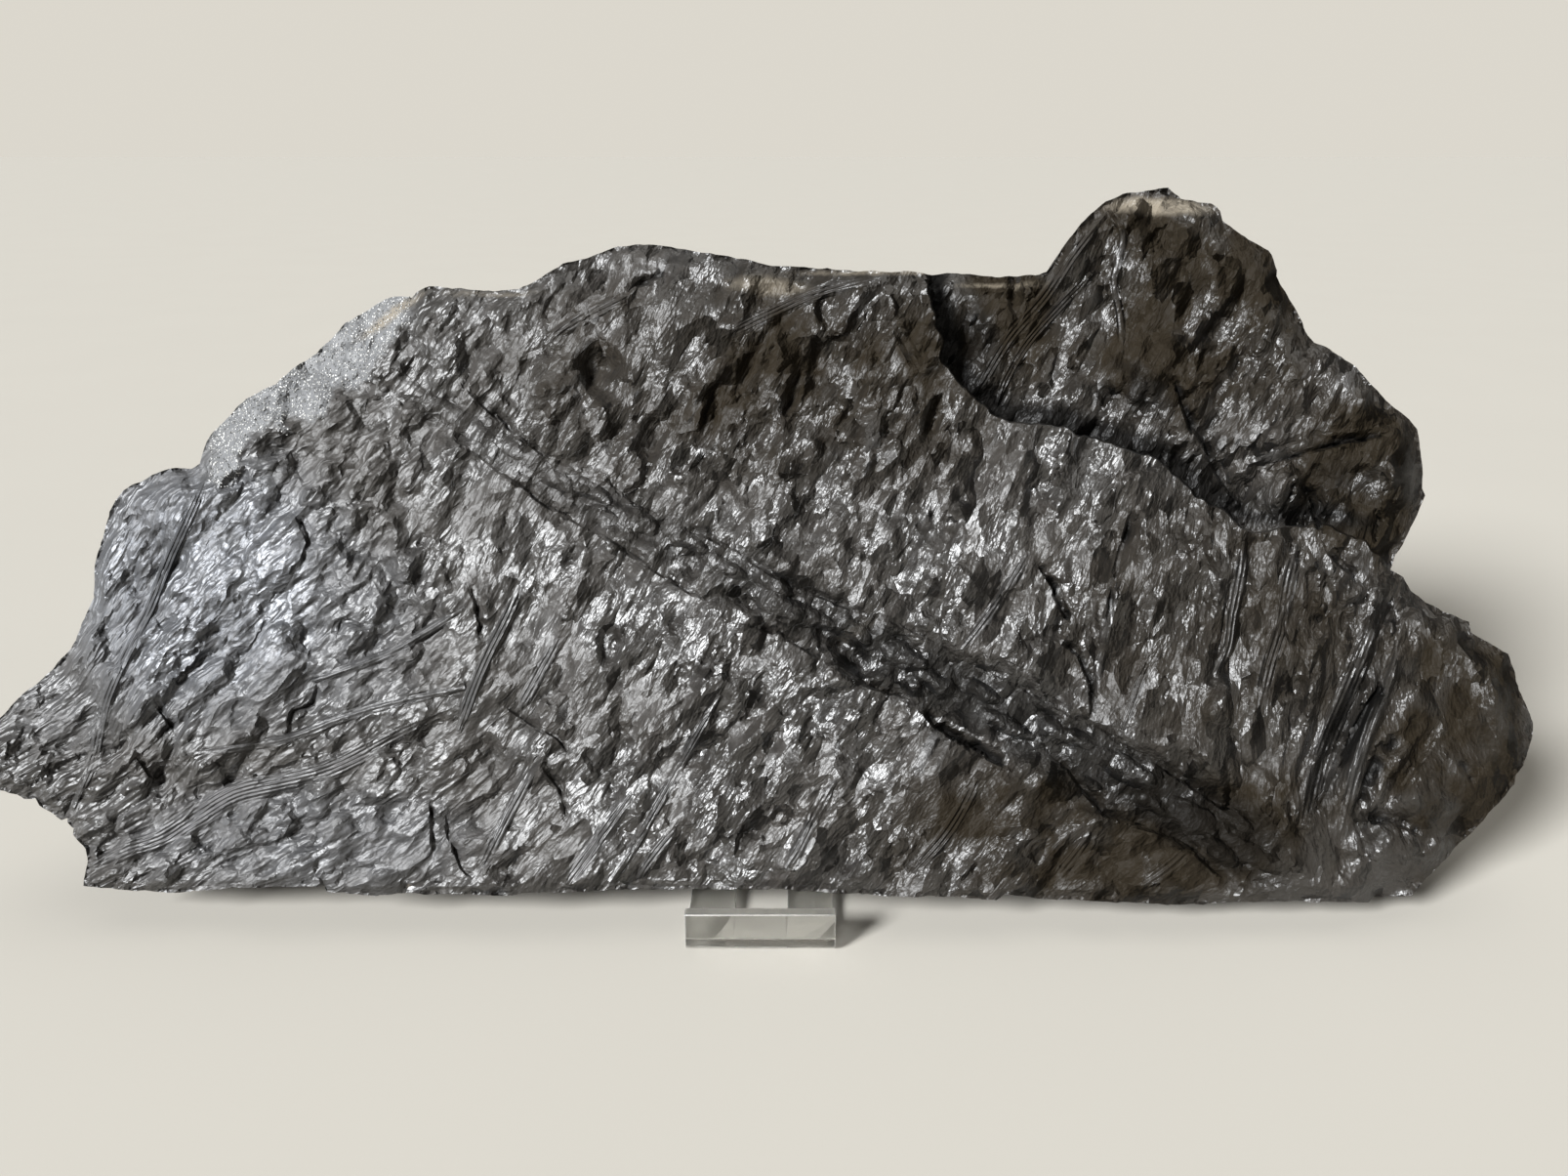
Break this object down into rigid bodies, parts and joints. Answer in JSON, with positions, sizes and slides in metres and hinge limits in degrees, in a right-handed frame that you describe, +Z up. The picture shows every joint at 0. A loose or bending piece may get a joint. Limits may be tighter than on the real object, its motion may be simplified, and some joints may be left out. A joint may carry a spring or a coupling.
{
  "type": "fossil lycopsid plate on an acrylic easel",
  "caption": "Broken slab of coaly shale with a pressed lycopsid stem and long leaves, leaning on a small clear bent-sheet easel.",
  "frame": {"origin": "on the table under the middle of the object's box", "axes": "+X to the right along the slab's length, +Y to the back, +Z up; the fossil's face looks along -Y and a little up"},
  "size_m": [0.4108, 0.1082, 0.182],
  "materials": {
    "coaly_shale": "dark grey-black coaly shale, uneven satin to glossy flakes, matt brown on the right end and the broken sides",
    "clear_acrylic": "clear polished acrylic sheet with bright rounded edges"
  },
  "bodies": {
    "root": {"fossil_plate": "coaly_shale", "acrylic_stand": "clear_acrylic"}
  },
  "joints": []
}
